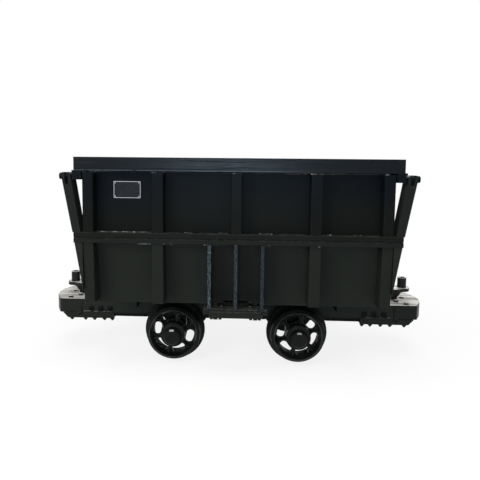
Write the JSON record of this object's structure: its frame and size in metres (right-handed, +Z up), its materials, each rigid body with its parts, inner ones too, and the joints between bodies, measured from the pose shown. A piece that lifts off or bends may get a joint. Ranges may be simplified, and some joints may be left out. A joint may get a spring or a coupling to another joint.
{
  "type": "side dump ore cart",
  "caption": "Narrow-gauge ore cart whose open steel box tips sideways while a door hung on one side swings open.",
  "frame": {"origin": "middle of the plan, level with the bottom of the wheel flanges", "axes": "+Z up, X along the track, -Y towards the door side to which the body tips"},
  "size_m": [2.516, 1.2, 1.3069],
  "materials": {
    "axle_steel": "plain turned steel",
    "body_paint": "semi-gloss near-black paint",
    "cast_wheel": "dark painted cast steel",
    "frame_paint": "satin near-black paint",
    "worn_steel": "bare worn steel"
  },
  "bodies": {
    "underframe": {"frame_beams": "frame_paint", "cross_members": "frame_paint", "end_plates": "frame_paint", "buffer_left": "worn_steel", "buffer_right": "worn_steel", "buffer_shoe_left": "frame_paint", "buffer_shoe_right": "frame_paint", "pin_guide_left": "frame_paint", "pin_guide_right": "frame_paint", "axle_seats_left": "frame_paint", "axle_seats_right": "frame_paint", "tilt_outriggers": "frame_paint", "tilt_pins": "axle_steel"},
    "wheelset_left": {"axle_left": "axle_steel", "wheel_left_door": "cast_wheel", "wheel_left_far": "cast_wheel", "hub_caps_left": "cast_wheel"},
    "wheelset_right": {"axle_right": "axle_steel", "wheel_right_door": "cast_wheel", "wheel_right_far": "cast_wheel", "hub_caps_right": "cast_wheel"},
    "hopper": {"hopper_floor": "body_paint", "hopper_bearers": "body_paint", "floor_crossbars": "body_paint", "far_wall": "body_paint", "far_ribs": "body_paint", "end_wall_left": "body_paint", "end_wall_right": "body_paint", "top_rim": "body_paint", "front_sill": "body_paint", "tilt_lugs": "body_paint", "pivot_brackets": "body_paint", "roller_bracket": "body_paint"},
    "dump_roller": {"dump_roller": "cast_wheel"},
    "side_door": {"door_skin": "body_paint", "door_ribs": "body_paint", "door_posts": "body_paint", "door_band": "body_paint", "door_arms": "body_paint", "door_pins": "axle_steel", "door_bars": "body_paint", "door_foot": "body_paint"}
  },
  "joints": [
    {"name": "wheelset_left_roll", "type": "hinge", "parent": "underframe", "child": "wheelset_left", "pos_m": [-0.395, 0, 0.195], "axis": [0, 1, 0], "continuous": true},
    {"name": "wheelset_right_roll", "type": "hinge", "parent": "underframe", "child": "wheelset_right", "pos_m": [0.395, 0, 0.195], "axis": [0, 1, 0], "continuous": true},
    {"name": "hopper_tilt", "type": "hinge", "parent": "underframe", "child": "hopper", "pos_m": [0, -0.48, 0.36], "axis": [1, 0, 0], "range_deg": [0, 40]},
    {"name": "door_swing", "type": "hinge", "parent": "hopper", "child": "side_door", "pos_m": [0, -0.57, 1.196], "axis": [-1, 0, 0], "range_deg": [0, 40]},
    {"name": "roller_spin", "type": "hinge", "parent": "hopper", "child": "dump_roller", "pos_m": [0, 0.57, 0.505], "axis": [0, 1, 0], "continuous": true}
  ],
  "couplings": [
    {"joint": "door_swing", "follows": "hopper_tilt", "ratio": 1}
  ]
}
